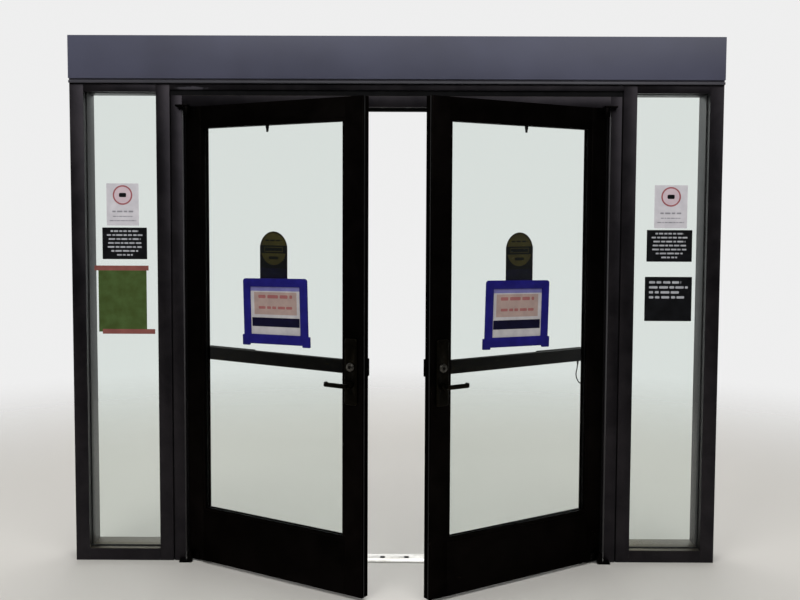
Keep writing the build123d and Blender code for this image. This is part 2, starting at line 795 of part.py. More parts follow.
with BuildPart() as header_back:
    panel_bottom = lip_top
    panel_top = frame_height - top_rail_height
    with BuildSketch(Plane.XZ.offset(-(frame_depth - back_panel_inset))):
        for middle, length in ((-sidelite_centre, sidelite_width), (0, 2 * inner_mullion_x),
                               (sidelite_centre, sidelite_width)):
            with Locations((middle, (panel_bottom + panel_top) / 2)):
                Rectangle(length, panel_top - panel_bottom)
    extrude(amount=fascia_sheet)
keep(header_back, "header_back")


# Door frame member: a tube with a hollow stop behind the leaves, drawn with its face along x.
def door_frame_profile(toward):
    Rectangle(door_frame_face, door_frame_depth)
    place = stop_front + (stop_width - door_frame_depth) / 2
    with Locations((toward * (door_frame_face + stop_projection) / 2, place)):
        Rectangle(stop_projection, stop_width)
    with Locations((toward * (door_frame_face + stop_projection - stop_wall) / 2, place)):
        Rectangle(stop_projection - stop_wall, stop_width - 2 * stop_wall, mode=Mode.SUBTRACT)
    Rectangle(door_frame_face - 2 * frame_wall, door_frame_depth - 2 * frame_wall, mode=Mode.SUBTRACT)


with BuildPart() as door_jambs:
    for hand in (-1, 1):
        with BuildSketch():
            with Locations((hand * (half_opening + door_frame_face / 2), door_frame_depth / 2)):
                door_frame_profile(-hand)
        extrude(amount=door_head_top)
        with BuildSketch(Plane.XY.offset(opening_height - stop_projection)):
            with Locations((hand * (half_opening - stop_projection / 2), door_frame_depth / 2)):
                Rectangle(stop_projection, door_frame_depth)
        extrude(amount=door_frame_face + stop_projection, mode=Mode.SUBTRACT)
keep(door_jambs, "door_jambs")

strike_y = leaf_thickness / 2
strike_x = half_opening - hinge_gap - lock_u
strike_places = ((-strike_x, strike_y), (strike_x, strike_y))
with BuildPart() as door_head:
    with BuildSketch(frame_section(-half_opening)):
        with Locations(Location((door_frame_depth / 2, opening_height + door_frame_face / 2), -90)):
            door_frame_profile(1)
    extrude(amount=2 * half_opening)
    with BuildSketch(Plane.XY.offset(opening_height)):
        with Locations(*strike_places):
            Rectangle(strike_width, strike_length)
    extrude(amount=frame_wall, mode=Mode.SUBTRACT)
keep(door_head, "door_head")

# Dark joint round the door frame, set back between it and the mullions and the rail above.
joint_depth = door_frame_depth - 2 * filler_setback
with BuildPart() as joint_filler:
    with BuildSketch():
        for hand in (-1, 1):
            with Locations((hand * (inner_mullion_x - side_joint / 2), door_frame_depth / 2)):
                Rectangle(side_joint, joint_depth)
    extrude(amount=door_head_top - filler_gap)
    with BuildSketch(Plane.XY.offset(door_head_top)):
        with Locations((0, door_frame_depth / 2)):
            Rectangle(2 * inner_mullion_x, joint_depth)
    extrude(amount=head_joint)
keep(joint_filler, "joint_filler")

# Bulb seals on the front of the stops, just behind the sweep of the leaves' back corners.
with BuildPart() as weatherstrip:
    seal_x = half_opening - stop_projection / 2
    seal_y = stop_front - seal_thickness / 2
    seal_z = opening_height - stop_projection / 2
    with BuildSketch(Plane.XY.offset(threshold_height + filler_gap)):
        with Locations((-seal_x, seal_y), (seal_x, seal_y)):
            SlotOverall(seal_width, seal_thickness)
    extrude(amount=seal_z - seal_width / 2 - threshold_height - 2 * filler_gap)
    with BuildSketch(frame_section(-half_opening)):
        with Locations((seal_y, seal_z)):
            SlotOverall(seal_width, seal_thickness, rotation=90)
    extrude(amount=2 * half_opening)
keep(weatherstrip, "weatherstrip")

# Saddle threshold with a bevel on each side and flutes along its crown. It is notched round the
# pivots and the stops.
with BuildPart() as threshold:
    length = 2 * (half_opening - threshold_side_gap)
    back = threshold_depth - threshold_front
    notch_width = half_opening - pivot_x + knuckle_radius + base_clearance
    with BuildSketch(frame_section(-length / 2)):
        with BuildLine():
            Polyline((-threshold_front, 0), (-threshold_front, threshold_nose),
                     (-threshold_front + threshold_bevel, threshold_height),
                     (back - threshold_bevel, threshold_height), (back, threshold_nose), (back, 0),
                     close=True)
        make_face()
        for flute in range(flute_count):
            place = strike_y + (flute - (flute_count - 1) / 2) * flute_pitch
            with Locations((place, threshold_height)):
                Rectangle(flute_width, 2 * flute_depth, mode=Mode.SUBTRACT)
    extrude(amount=length)
    with BuildSketch():
        with Locations(*strike_places):
            Rectangle(strike_width, strike_length)
        for hand in (-1, 1):
            with Locations((hand * (half_opening - notch_width / 2), base_clearance - threshold_front / 2)):
                Rectangle(notch_width, threshold_front + 2 * base_clearance)
            with Locations((hand * half_opening, stop_front + stop_width / 2)):
                Rectangle(2 * (stop_projection + base_clearance), stop_width + 2 * base_clearance)
    extrude(amount=threshold_height, mode=Mode.SUBTRACT)
    with Locations(*[(hand * x, strike_y, threshold_height) for x in screw_places for hand in (-1, 1)]):
        CounterSinkHole(screw_shank + screw_clearance, screw_head + screw_clearance, screw_length, 90)
keep(threshold, "threshold")

# Strike cups for the bolts: a ring flush in the threshold, and a closed cup up inside the door head.
with BuildPart() as strikes:
    outer_width = strike_width - 2 * strike_clearance
    outer_length = strike_length - 2 * strike_clearance
    for low, height in ((0, threshold_height), (opening_height, strike_depth)):
        with BuildSketch(Plane.XY.offset(low)):
            with Locations(*strike_places):
                Rectangle(outer_width, outer_length)
                Rectangle(strike_width - 2 * strike_wall, strike_length - 2 * strike_wall,
                          mode=Mode.SUBTRACT)
        extrude(amount=height)
    with BuildSketch(Plane.XY.offset(opening_height + strike_depth - strike_wall)):
        with Locations(*strike_places):
            Rectangle(outer_width, outer_length)
    extrude(amount=strike_wall)
keep(strikes, "strikes")

with BuildPart() as frame_screws:
    for x in screw_places:
        for hand in (-1, 1):
            with BuildSketch(Plane(origin=(hand * x, strike_y, threshold_height), x_dir=(1, 0, 0),
                                   z_dir=(0, -1, 0))):
                with BuildLine():
                    Polyline((0, 0), (screw_head, 0), (screw_shank, screw_shank - screw_head),
                             (screw_shank, -screw_length), (0, -screw_length), close=True)
                make_face()
            revolve(axis=Axis((hand * x, strike_y, 0), (0, 0, 1)))
keep(frame_screws, "frame_screws")

# Pivots fixed to the frame. Each is a plate with a tail to the jamb, a thrust washer and a pin in
# the knuckle of the leaf: one on the floor pointing up, one on the door head pointing down.
with BuildPart() as frame_pivots:
    for hand in (-1, 1):
        head_plate = leaf_top + knuckle_step + washer_thickness
        for plate, washer, pin, reach in (
                (0, base_height, base_height + washer_thickness, pin_height),
                (head_plate, head_plate - washer_thickness, head_plate - washer_thickness, -pin_height)):
            with BuildSketch(Plane.XY.offset(plate)):
                with Locations((hand * pivot_x, -pivot_offset)):
                    Circle(knuckle_radius)
                with Locations((hand * pivot_x, -pivot_offset / 2)):
                    Rectangle(2 * knuckle_radius, pivot_offset)
                with Locations((hand * (pivot_x + base_tail / 2), -(pivot_offset + knuckle_radius) / 2)):
                    Rectangle(base_tail, pivot_offset + knuckle_radius)
            extrude(amount=base_height)
            with BuildSketch(Plane.XY.offset(washer)):
                with Locations((hand * pivot_x, -pivot_offset)):
                    Circle(washer_radius)
            extrude(amount=washer_thickness)
            with BuildSketch(Plane.XY.offset(pin)):
                with Locations((hand * pivot_x, -pivot_offset)):
                    Circle(pin_radius)
            extrude(amount=reach)
keep(frame_pivots, "frame_pivots")

# Notices on the front of the sidelite glass. Each is given by its side, its left and right edges
# from the middle of that sidelite, and its bottom and top.
with BuildPart() as notices:
    with BuildSketch(Plane.XZ.offset(glass_thickness / 2 - sidelite_glass_y)):
        for hand, left, right, low, high in notice_places:
            with Locations((hand * sidelite_centre + (left + right) / 2, (low + high) / 2)):
                Rectangle(right - left, high - low)
    extrude(amount=sheet_thickness)
keep(notices, "notices")
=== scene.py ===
import json
import math
import random

import bmesh
import bpy
from mathutils import Matrix, Vector


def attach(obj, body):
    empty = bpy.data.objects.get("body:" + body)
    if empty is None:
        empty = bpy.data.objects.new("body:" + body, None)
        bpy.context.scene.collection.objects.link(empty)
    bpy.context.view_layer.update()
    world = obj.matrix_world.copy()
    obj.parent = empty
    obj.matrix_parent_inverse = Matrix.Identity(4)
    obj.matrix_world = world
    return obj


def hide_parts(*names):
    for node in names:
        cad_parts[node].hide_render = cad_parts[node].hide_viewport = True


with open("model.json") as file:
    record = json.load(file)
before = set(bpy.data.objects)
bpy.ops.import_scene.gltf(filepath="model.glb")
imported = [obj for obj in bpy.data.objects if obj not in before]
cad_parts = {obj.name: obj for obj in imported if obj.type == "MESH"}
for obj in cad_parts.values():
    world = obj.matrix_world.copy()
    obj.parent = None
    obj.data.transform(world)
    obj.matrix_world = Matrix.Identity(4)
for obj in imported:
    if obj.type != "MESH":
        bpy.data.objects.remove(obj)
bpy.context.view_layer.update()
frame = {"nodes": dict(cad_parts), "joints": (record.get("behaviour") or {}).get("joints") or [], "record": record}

# Pair of glazed aluminium doors standing ajar in their frame, with two sidelites and a header.
# Lengths are in metres where no comment says millimetres, and places are those of the CAD model.

nodes = frame["nodes"]
joints = {joint["name"]: joint for joint in frame["joints"]}
bodies = frame["record"]["behaviour"]["bodies"]
bodyOf = {node: body for body, members in bodies.items() for node in members}
scene = bpy.context.scene
mm = 0.001
sides = {"left": 1, "right": -1}  # way along x from a leaf's hinge edge to its free edge


# Camera at the photograph's place: in front of the middle, turned down by a few degrees

cameraView = {
    "place": (-0.0039, -4.7879, 1.6590),
    "yaw": -0.19, "pitch": -3.65, "roll": 0.22,  # degrees
    "lens": 46.30, "sensor": 36.0,               # millimetres
    "shift": (0.0107, -0.0292),                  # shares of the picture's width
    "reach": 60.0,                               # how far it sees
}

camera = bpy.data.objects.new("camera", bpy.data.cameras.new("camera"))
scene.collection.objects.link(camera)
camera.data.lens = cameraView["lens"]
camera.data.sensor_width = cameraView["sensor"]
camera.data.shift_x, camera.data.shift_y = cameraView["shift"]
camera.data.clip_end = cameraView["reach"]
camera.matrix_world = (Matrix.Translation(cameraView["place"])
                       @ Matrix.Rotation(math.radians(-cameraView["yaw"]), 4, "Z")
                       @ Matrix.Rotation(math.radians(90 + cameraView["pitch"]), 4, "X")
                       @ Matrix.Rotation(math.radians(cameraView["roll"]), 4, "Z"))
scene.camera = camera
print("camera placed")


# Leaf places: x runs to the right along a leaf, y into the building and z up, from its hinge corner

leafPlace = {
    "inset": 19.05 * mm,   # from the leaf's hinge edge to the pivot
    "offset": 19.05 * mm,  # from its front face to the pivot
}


def pivotPoint(side):
    return Vector((*joints[f"{side}_swing"]["pos_m"][:2], 0))


def leafMatrix(side):
    hand = sides[side]
    turn = math.radians(hand * joints[f"{side}_swing"]["range_deg"][0])
    return (Matrix.Translation(pivotPoint(side)) @ Matrix.Rotation(turn, 4, "Z")
            @ Matrix.Translation((-hand * leafPlace["inset"], leafPlace["offset"], 0)))


def leafTurn(side):
    return leafMatrix(side).to_euler().z


# A bmesh made an object of its own, with its materials in their slots
def newPiece(name, shape, materials):
    mesh = bpy.data.meshes.new(name)
    shape.to_mesh(mesh)
    shape.free()
    for material in materials:
        mesh.materials.append(material)
    piece = bpy.data.objects.new(name, mesh)
    scene.collection.objects.link(piece)
    return piece


# Colours and material nodes

def hexColour(code):
    parts = [int(code[i:i + 2], 16) / 255 for i in (1, 3, 5)]
    return [p / 12.92 if p <= 0.04045 else ((p + 0.055) / 1.055) ** 2.4 for p in parts] + [1.0]


def addNode(tree, kind, settings=None, inputs=None):
    node = tree.nodes.new(kind)
    for name, value in (settings or {}).items():
        setattr(node, name, value)
    for socket, value in (inputs or {}).items():
        if isinstance(value, bpy.types.NodeSocket):
            tree.links.new(value, node.inputs[socket])
        else:
            node.inputs[socket].default_value = value
    return node


def newMaterial(name, constants=None):
    material = bpy.data.materials.new(name)
    material.use_nodes = True
    tree = material.node_tree
    shader = tree.nodes["Principled BSDF"]
    for socket, value in (constants or {}).items():
        shader.inputs[socket].default_value = value
    place = addNode(tree, "ShaderNodeTexCoord").outputs["Object"]
    return material, tree, shader, place


# Colour and roughness follow the patches of a noise, and a finer noise gives relief
def varySurface(tree, shader, colour=None, roughness=None, relief=None):
    if colour:
        patches, shades, stops = colour
        ramp = addNode(tree, "ShaderNodeValToRGB", inputs={"Fac": patches.outputs["Fac"]})
        for element, shade, stop in zip(ramp.color_ramp.elements, shades, stops):
            element.position = stop
            element.color = hexColour(shade)
        tree.links.new(ramp.outputs["Color"], shader.inputs["Base Color"])
    if roughness:
        patches, low, high = roughness
        level = addNode(tree, "ShaderNodeMapRange",
                        inputs={"Value": patches.outputs["Fac"], "To Min": low, "To Max": high})
        tree.links.new(level.outputs["Result"], shader.inputs["Roughness"])
    if relief:
        grain, strength, depth = relief
        bump = addNode(tree, "ShaderNodeBump",
                       inputs={"Height": grain.outputs["Fac"], "Strength": strength, "Distance": depth})
        tree.links.new(bump.outputs["Normal"], shader.inputs["Normal"])


# Sizes of the patterns, from one line, patch or grain to the next
patterns = {
    "dieLines": 4 * mm, "dieRun": 900 * mm, "wiping": 160 * mm,  # anodised aluminium
    "clouding": 420 * mm, "orangePeel": 5 * mm,                  # sprayed paint
    "scuffs": 3 * mm, "scuffRun": 60 * mm, "grime": 70 * mm,     # mill finish
    "handling": 24 * mm, "grainRun": 300 * mm,                   # metal of the fittings
    "skinPatches": 45 * mm,                                      # plastic, rubber and print
    "smears": 300 * mm,                                          # glass
}


# Anodised aluminium: dark metal with faint die lines along the extrusion and a hazy, hand-wiped
# sheen. Real die lines are under 0.5 mm apart, so they are drawn coarser to show at all. Grazing
# is how much the metal mirrors where it is seen edge-on.
def anodisedAluminium(name, shade, haze, roughness, turn=0.0, along="z", grazing=1.0):
    material, tree, shader, place = newMaterial(
        name, {"Metallic": 1.0, "Specular Tint": (grazing, grazing, grazing, 1)})
    across, run = 1 / patterns["dieLines"], 1 / patterns["dieRun"]
    scale = (across, across, run) if along == "z" else (run, across, across)
    turned = addNode(tree, "ShaderNodeMapping", inputs={"Vector": place, "Rotation": (0, 0, -turn)})
    drawn = addNode(tree, "ShaderNodeMapping",
                    inputs={"Vector": turned.outputs["Vector"], "Scale": scale})
    lines = addNode(tree, "ShaderNodeTexNoise",
                    inputs={"Vector": drawn.outputs["Vector"], "Scale": 1.0, "Detail": 3.0,
                            "Roughness": 0.6})
    wiped = addNode(tree, "ShaderNodeTexNoise",
                    inputs={"Vector": place, "Scale": 1 / patterns["wiping"], "Detail": 4.0,
                            "Roughness": 0.62, "Distortion": 0.6})
    varySurface(tree, shader, colour=(wiped, (shade, haze), (0.35, 0.75)),
                roughness=(wiped, roughness - 0.07, roughness + 0.1), relief=(lines, 0.05, 0.2 * mm))
    return material


# Painted light on the level pieces of the frame: a lighter streak under the header, which is a painted
# highlight, and a lighter, warmer tone on upward faces, which is painted light on the ledges' tops
paintedLight = {
    "streak": (-950 * mm, 2221 * mm),          # middle of the streak, across and up
    "reach": (80 * mm, 9 * mm),                # and half its length and height
    "tears": 22 * mm, "tearing": 1.1,          # size of the tears in its edge, and how deep they go
    "edge": (1.6, 1.05),                       # where it starts and where it is full, tears included
    # colours of the painted highlight and of the painted light on upward faces
    "highlightShade": "#68656d", "topLightShade": "#5d574a",
    "topPatchSize": 25 * mm, "cover": (0.5, 1.2),  # size of the patches of painted light on upward faces, and its thin and full cover
}


def addPaintedLight(material):
    tree = material.node_tree
    base = tree.nodes["Principled BSDF"].inputs["Base Color"]
    place = addNode(tree, "ShaderNodeTexCoord").outputs["Object"]
    (x, z), (length, height) = paintedLight["streak"], paintedLight["reach"]
    patch = addNode(tree, "ShaderNodeMapping",
                    inputs={"Vector": place, "Scale": (1 / length, 0, 1 / height),
                            "Location": (-x / length, 0, -z / height)})
    away = addNode(tree, "ShaderNodeVectorMath", {"operation": "LENGTH"}, {0: patch.outputs["Vector"]})
    torn = addNode(tree, "ShaderNodeTexNoise",
                   inputs={"Vector": place, "Scale": 1 / paintedLight["tears"], "Detail": 3.0})
    edge = addNode(tree, "ShaderNodeMath", {"operation": "MULTIPLY_ADD"},
                   {0: torn.outputs["Fac"], 1: paintedLight["tearing"], 2: away.outputs["Value"]})
    start, full = paintedLight["edge"]
    # Mask of the painted highlight: a lighter streak with a ragged edge
    highlightMask = addNode(tree, "ShaderNodeMapRange", {"interpolation_type": "SMOOTHSTEP"},
                     {"Value": edge.outputs[0], "From Min": start, "From Max": full})
    highlighted = addNode(tree, "ShaderNodeMix", {"data_type": "RGBA"},  # 6 and 7 are its two colours
                       {0: highlightMask.outputs["Result"], 6: base.links[0].from_socket,
                        7: hexColour(paintedLight["highlightShade"])})
    # Painted light on upward faces: their tops are made lighter and warmer in patches, as where light falls on
    # them
    facing = addNode(tree, "ShaderNodeSeparateXYZ",
                     inputs={"Vector": addNode(tree, "ShaderNodeNewGeometry").outputs["True Normal"]})
    topPatches = addNode(tree, "ShaderNodeTexNoise",
                      inputs={"Vector": place, "Scale": 1 / paintedLight["topPatchSize"], "Detail": 4.0})
    least, most = paintedLight["cover"]
    cover = addNode(tree, "ShaderNodeMapRange",
                    inputs={"Value": topPatches.outputs["Fac"], "To Min": least, "To Max": most})
    litTops = addNode(tree, "ShaderNodeMath", {"operation": "MULTIPLY", "use_clamp": True},
                   {0: facing.outputs["Z"], 1: cover.outputs["Result"]})
    litTopsMixed = addNode(tree, "ShaderNodeMix", {"data_type": "RGBA"},
                    {0: litTops.outputs[0], 6: highlighted.outputs[2], 7: hexColour(paintedLight["topLightShade"])})
    tree.links.new(litTopsMixed.outputs[2], base)
    return material


# Sprayed paint on folded sheet: an even satin colour, a fine orange peel and soft clouding.
def satinPaint(name, shade, cloud, roughness):
    material, tree, shader, place = newMaterial(name)
    clouds = addNode(tree, "ShaderNodeTexNoise",
                     inputs={"Vector": place, "Scale": 1 / patterns["clouding"], "Detail": 3.0})
    peel = addNode(tree, "ShaderNodeTexNoise",
                   inputs={"Vector": place, "Scale": 1 / patterns["orangePeel"], "Detail": 2.0})
    varySurface(tree, shader, colour=(clouds, (shade, cloud), (0.3, 0.75)),
                roughness=(clouds, roughness - 0.05, roughness + 0.08), relief=(peel, 0.08, 0.1 * mm))
    return material


# Mill finish aluminium underfoot: bright bare metal, brushed along its length by shoes and grit.
def wornMillAluminium(name, shade, bright):
    material, tree, shader, place = newMaterial(name, {"Metallic": 1.0})
    across, run = 1 / patterns["scuffs"], 1 / patterns["scuffRun"]
    scuffed = addNode(tree, "ShaderNodeMapping", inputs={"Vector": place, "Scale": (run, across, across)})
    scuff = addNode(tree, "ShaderNodeTexNoise",
                    inputs={"Vector": scuffed.outputs["Vector"], "Scale": 1.0, "Detail": 5.0,
                            "Roughness": 0.7})
    grime = addNode(tree, "ShaderNodeTexNoise",
                    inputs={"Vector": place, "Scale": 1 / patterns["grime"], "Detail": 3.0})
    varySurface(tree, shader, colour=(grime, (shade, bright), (0.3, 0.6)), roughness=(scuff, 0.28, 0.6),
                relief=(scuff, 0.15, 0.2 * mm))
    return material


# Plated or bare metal on cast, turned and rolled fittings, such as bronze, chrome or steel: smooth,
# and a little brighter where hands polish it. A rolled one has a fine grain along its length.
def fittingMetal(name, shade, polished, roughness, grainWidth=None, turn=0.0, grazing=1.0):
    material, tree, shader, place = newMaterial(
        name, {"Metallic": 1.0, "Specular Tint": (grazing, grazing, grazing, 1)})
    handled = addNode(tree, "ShaderNodeTexNoise",
                      inputs={"Vector": place, "Scale": 1 / patterns["handling"], "Detail": 4.0})
    varySurface(tree, shader, colour=(handled, (shade, polished), (0.4, 0.8)),
                roughness=(handled, roughness + 0.06, roughness - 0.08))
    if grainWidth:
        across, run = 1 / grainWidth, 1 / patterns["grainRun"]
        turned = addNode(tree, "ShaderNodeMapping", inputs={"Vector": place, "Rotation": (0, 0, -turn)})
        drawn = addNode(tree, "ShaderNodeMapping",
                        inputs={"Vector": turned.outputs["Vector"], "Scale": (run, across, across)})
        grain = addNode(tree, "ShaderNodeTexNoise",
                        inputs={"Vector": drawn.outputs["Vector"], "Scale": 1.0})
        varySurface(tree, shader, relief=(grain, 0.12, 0.1 * mm))
    return material


# Plastic, rubber, sealant or laminated print: a satin skin whose fine texture breaks up its highlight.
def mouldedSkin(name, shade, worn, roughness, grit=1.2 * mm, depth=0.1, gloss=0.3):
    material, tree, shader, place = newMaterial(name, {"Specular IOR Level": gloss})
    patchy = addNode(tree, "ShaderNodeTexNoise",
                     inputs={"Vector": place, "Scale": 1 / patterns["skinPatches"], "Detail": 3.0})
    skin = addNode(tree, "ShaderNodeTexNoise", inputs={"Vector": place, "Scale": 1 / grit, "Detail": 2.0})
    varySurface(tree, shader, colour=(patchy, (shade, worn), (0.35, 0.7)),
                roughness=(patchy, roughness - 0.06, roughness + 0.08), relief=(skin, depth, 0.1 * mm))
    return material


# Float glass, wiped clean: clear, with the faint green of its iron and a smear in the gloss.
def floatGlass(name, tint):
    material, tree, shader, place = newMaterial(
        name, {"Base Color": hexColour(tint), "IOR": 1.5, "Transmission Weight": 1.0})
    smear = addNode(tree, "ShaderNodeTexNoise",
                    inputs={"Vector": place, "Scale": 1 / patterns["smears"], "Detail": 3.0,
                            "Distortion": 1.2})
    varySurface(tree, shader, roughness=(smear, 0.0, 0.03))
    return material


finishes = {
    "frame": anodisedAluminium("anodisedFrame", "#272528", "#353235", 0.42),
    # The level pieces carry painted light: a painted highlight under the header and lighter, warmer tops
    "frameLevel": addPaintedLight(anodisedAluminium("anodisedFrameLevel", "#272528", "#353235", 0.42, along="x")),
    "header": satinPaint("headerPaint", "#38394a", "#44465a", 0.5),
    "trim": satinPaint("trimPaint", "#2d2c33", "#3b3a41", 0.45),
    # A lighter copy of the trim's paint for the reveal: painted light in the shaded groove
    "reveal": satinPaint("revealPaintedLight", "#4a4850", "#55535c", 0.75),
    "joint": mouldedSkin("jointSealant", "#070708", "#0e0e0f", 0.8, gloss=0.1),
    "rubber": mouldedSkin("blackRubber", "#0b0b0b", "#131313", 0.7),
    "threshold": wornMillAluminium("millAluminium", "#cfcdc6", "#ebeae6"),
    "screw": fittingMetal("stainlessScrew", "#9a9a98", "#c4c4c0", 0.35),
    "strike": mouldedSkin("strikePlastic", "#727273", "#808081", 0.5),
    "pivot": fittingMetal("pivotBlack", "#080707", "#110f0e", 0.45),
    "rod": fittingMetal("platedRod", "#8b8b88", "#b0b0ad", 0.35),
    "nylon": mouldedSkin("guideNylon", "#0e0e0e", "#171717", 0.55),
    "glass": floatGlass("floatGlass", "#eff6f2"),
    "lock": fittingMetal("satinChrome", "#45433f", "#6f6c66", 0.34),
    "plug": fittingMetal("keyPlug", "#1f1e1c", "#35332f", 0.36),
    "plate": fittingMetal("bronzePlate", "#12100c", "#201d16", 0.4),
    "blue": mouldedSkin("blueStyrene", "#100d59", "#171466", 0.45, gloss=0.12),
}
leafMetal = {"shade": "#0b0908", "haze": "#141110", "roughness": 0.42, "grazing": 0.4}
barMetal = {"shade": "#110e08", "polished": "#1d190f", "roughness": 0.4, "grazing": 0.4,
            "grainWidth": 2 * mm}
for side in sides:
    turn = leafTurn(side)
    finishes[f"{side}Stile"] = anodisedAluminium(f"{side}StileAnodised", turn=turn, **leafMetal)
    finishes[f"{side}Rail"] = anodisedAluminium(f"{side}RailAnodised", turn=turn, along="x", **leafMetal)
    finishes[f"{side}Bar"] = fittingMetal(f"{side}BarBronze", turn=turn, **barMetal)
print("materials made")


# Lead from the exit bar to the hinge stile of the right leaf, on the route of its CAD tube

lead = {
    "radius": 2.6 * mm,
    "route": ((93, 74, 958.9), (93, 74, 935), (106, 75, 893), (86, 72, 854), (68, 64, 851),
              (68, 49.45, 851)),          # millimetres along the leaf, into the building and up
    "collar": 5.4 * mm, "tip": 3.1 * mm,  # radius of each end's sleeve where it starts and ends
    "relief": 17 * mm, "ribs": 4,         # length of a sleeve, and its ribs
    "groove": 0.86,                       # radius between two ribs, as a share of theirs
    "fall": 0.25,                         # share of a step in which the radius falls to it
}


# Sleeve round the lead where it leaves a housing: a flange, then ribs that taper to the lead
def addRelief(shape, start, along):
    steps = 2 * lead["ribs"] + 1
    step = lead["relief"] / steps
    radius = lead["collar"]
    place = Matrix.Translation(start) @ along.to_track_quat("Z", "Y").to_matrix().to_4x4()
    rim = bmesh.ops.create_circle(shape, segments=32, radius=radius, cap_ends=True,
                                  matrix=place)["verts"]
    tip = list({face for vert in rim for face in vert.link_faces})
    for number in range(steps):
        taper = lead["collar"] + (lead["tip"] - lead["collar"]) * (number + 1) / steps
        ribOrGroove = taper * (lead["groove"] if number % 2 == 0 else 1.0)
        for height, goal in (((1 - lead["fall"]) * step, taper), (lead["fall"] * step, ribOrGroove)):
            grown = bmesh.ops.extrude_face_region(shape, geom=tip)["geom"]
            tip = [item for item in grown if isinstance(item, bmesh.types.BMFace)]
            moved = list({vert for face in tip for vert in face.verts})
            bmesh.ops.translate(shape, verts=moved, vec=along * height)
            centre = sum((vert.co for vert in moved), Vector()) / len(moved)
            bmesh.ops.scale(shape, verts=moved, vec=Vector.Fill(3, goal / radius),
                            space=Matrix.Translation(-centre))
            radius = goal


rightPlace = leafMatrix("right")
leadPoints = [rightPlace @ Vector((-u * mm, v * mm, z * mm)) for u, v, z in lead["route"]]
leadCurve = bpy.data.curves.new("exitLead", "CURVE")
leadCurve.dimensions = "3D"
spline = leadCurve.splines.new("NURBS")
spline.points.add(len(leadPoints) - 1)
for point, place in zip(spline.points, leadPoints):
    point.co = (*place, 1)
spline.order_u = 3
spline.use_endpoint_u = True
spline.resolution_u = 8
leadPiece = bpy.data.objects.new("exitLead", leadCurve)
scene.collection.objects.link(leadPiece)
line = bpy.data.meshes.new_from_object(leadPiece)  # the bare line, before the curve gets its thickness
runs = ([line.vertices[end].co for end in edge.vertices] for edge in line.edges)
leadLength = sum((first - second).length for first, second in runs)
bpy.data.meshes.remove(line)
leadCurve.bevel_depth = lead["radius"]
leadCurve.bevel_resolution = 5
leadCurve.use_fill_caps = True
leadCurve.materials.append(mouldedSkin("leadJacket", "#0b0b0b", "#151515", 0.5))
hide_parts("right_exit_cable")
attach(leadPiece, "right_leaf")

reliefs = bmesh.new()
for first, second in ((0, 1), (-1, -2)):
    addRelief(reliefs, leadPoints[first], (leadPoints[second] - leadPoints[first]).normalized())
bmesh.ops.recalc_face_normals(reliefs, faces=reliefs.faces)
reliefPiece = newPiece("leadReliefs", reliefs, [finishes["nylon"]])
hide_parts("right_cable_glands")
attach(reliefPiece, "right_leaf")
print("lead", round(leadLength, 4), "m long")


# CAD pieces whose edges are broken, as a real extrusion's or casting's are

brokenEdges = {
    "merge": 0.002 * mm,  # distance at which two points are one
    "flat": 0.5,          # degrees between two faces that are one
    "sharp": 35,          # degrees from which an edge is broken
    "segments": 2,
}


def softened(node, width, finish):
    mesh = nodes[node].data.copy()
    mesh.name = node + "Softened"
    shell = bmesh.new()
    shell.from_mesh(mesh)
    bmesh.ops.remove_doubles(shell, verts=shell.verts, dist=brokenEdges["merge"])
    bmesh.ops.dissolve_limit(shell, angle_limit=math.radians(brokenEdges["flat"]), verts=shell.verts,
                             edges=shell.edges)
    for face in shell.faces:
        face.smooth = True
    shell.to_mesh(mesh)
    shell.free()
    mesh.materials.clear()
    mesh.materials.append(finish)
    piece = bpy.data.objects.new(node + "Softened", mesh)
    scene.collection.objects.link(piece)
    edge = piece.modifiers.new("edge", "BEVEL")
    edge.width = width
    edge.segments = brokenEdges["segments"]
    edge.limit_method = "ANGLE"
    edge.angle_limit = math.radians(brokenEdges["sharp"])
    edge.harden_normals = True
    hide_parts(node)
    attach(piece, bodyOf[node])
    return piece


softEdges = {  # node: edge width in millimetres, and finish
    "outer_mullions": (0.8, "frame"), "inner_mullions": (0.8, "frame"), "door_jambs": (0.8, "frame"),
    "cross_rails": (0.8, "frameLevel"), "door_head": (0.8, "frameLevel"),
    "sidelite_sills": (0.8, "frameLevel"), "header_fascia": (1.5, "header"),
    "header_trim": (0.8, "trim"), "threshold": (0.4, "threshold"), "frame_pivots": (0.8, "pivot"),
}
leafEdges = {
    "hinge_stile": (0.5, "{side}Stile"), "lock_stile": (0.5, "{side}Stile"),
    "top_rail": (0.4, "{side}Rail"), "bottom_rail": (0.4, "{side}Rail"),
    "glazing_stops": (0.5, "{side}Stile"), "pivot_arms": (0.8, "pivot"),
    "exit_rail": (0.6, "{side}Bar"), "exit_covers": (1.2, "{side}Bar"), "push_bar": (0.8, "{side}Bar"),
    "trim_plate": (0.6, "plate"), "lever": (1.4, "plate"), "sign_holder": (1.6, "blue"),
    "cylinder": (0.5, "lock"),
}
softPieces = {}
for node, (width, finish) in softEdges.items():
    softPieces[node] = softened(node, width * mm, finishes[finish])
for side in sides:
    for part, (width, finish) in leafEdges.items():
        node = f"{side}_{part}"
        softPieces[node] = softened(node, width * mm, finishes[finish.format(side=side)])

# The reveal over the header's lip is left matt, in a lighter copy of the trim's paint: painted light
# that lifts the groove out of its shade
revealFace = {"place": -4 * mm, "slack": 0.5 * mm}  # y of its front, and what a face may be off it
trimMesh = softPieces["header_trim"].data
trimMesh.materials.append(finishes["reveal"])
for face in trimMesh.polygons:
    face.material_index = int(abs(face.center.y - revealFace["place"]) < revealFace["slack"])

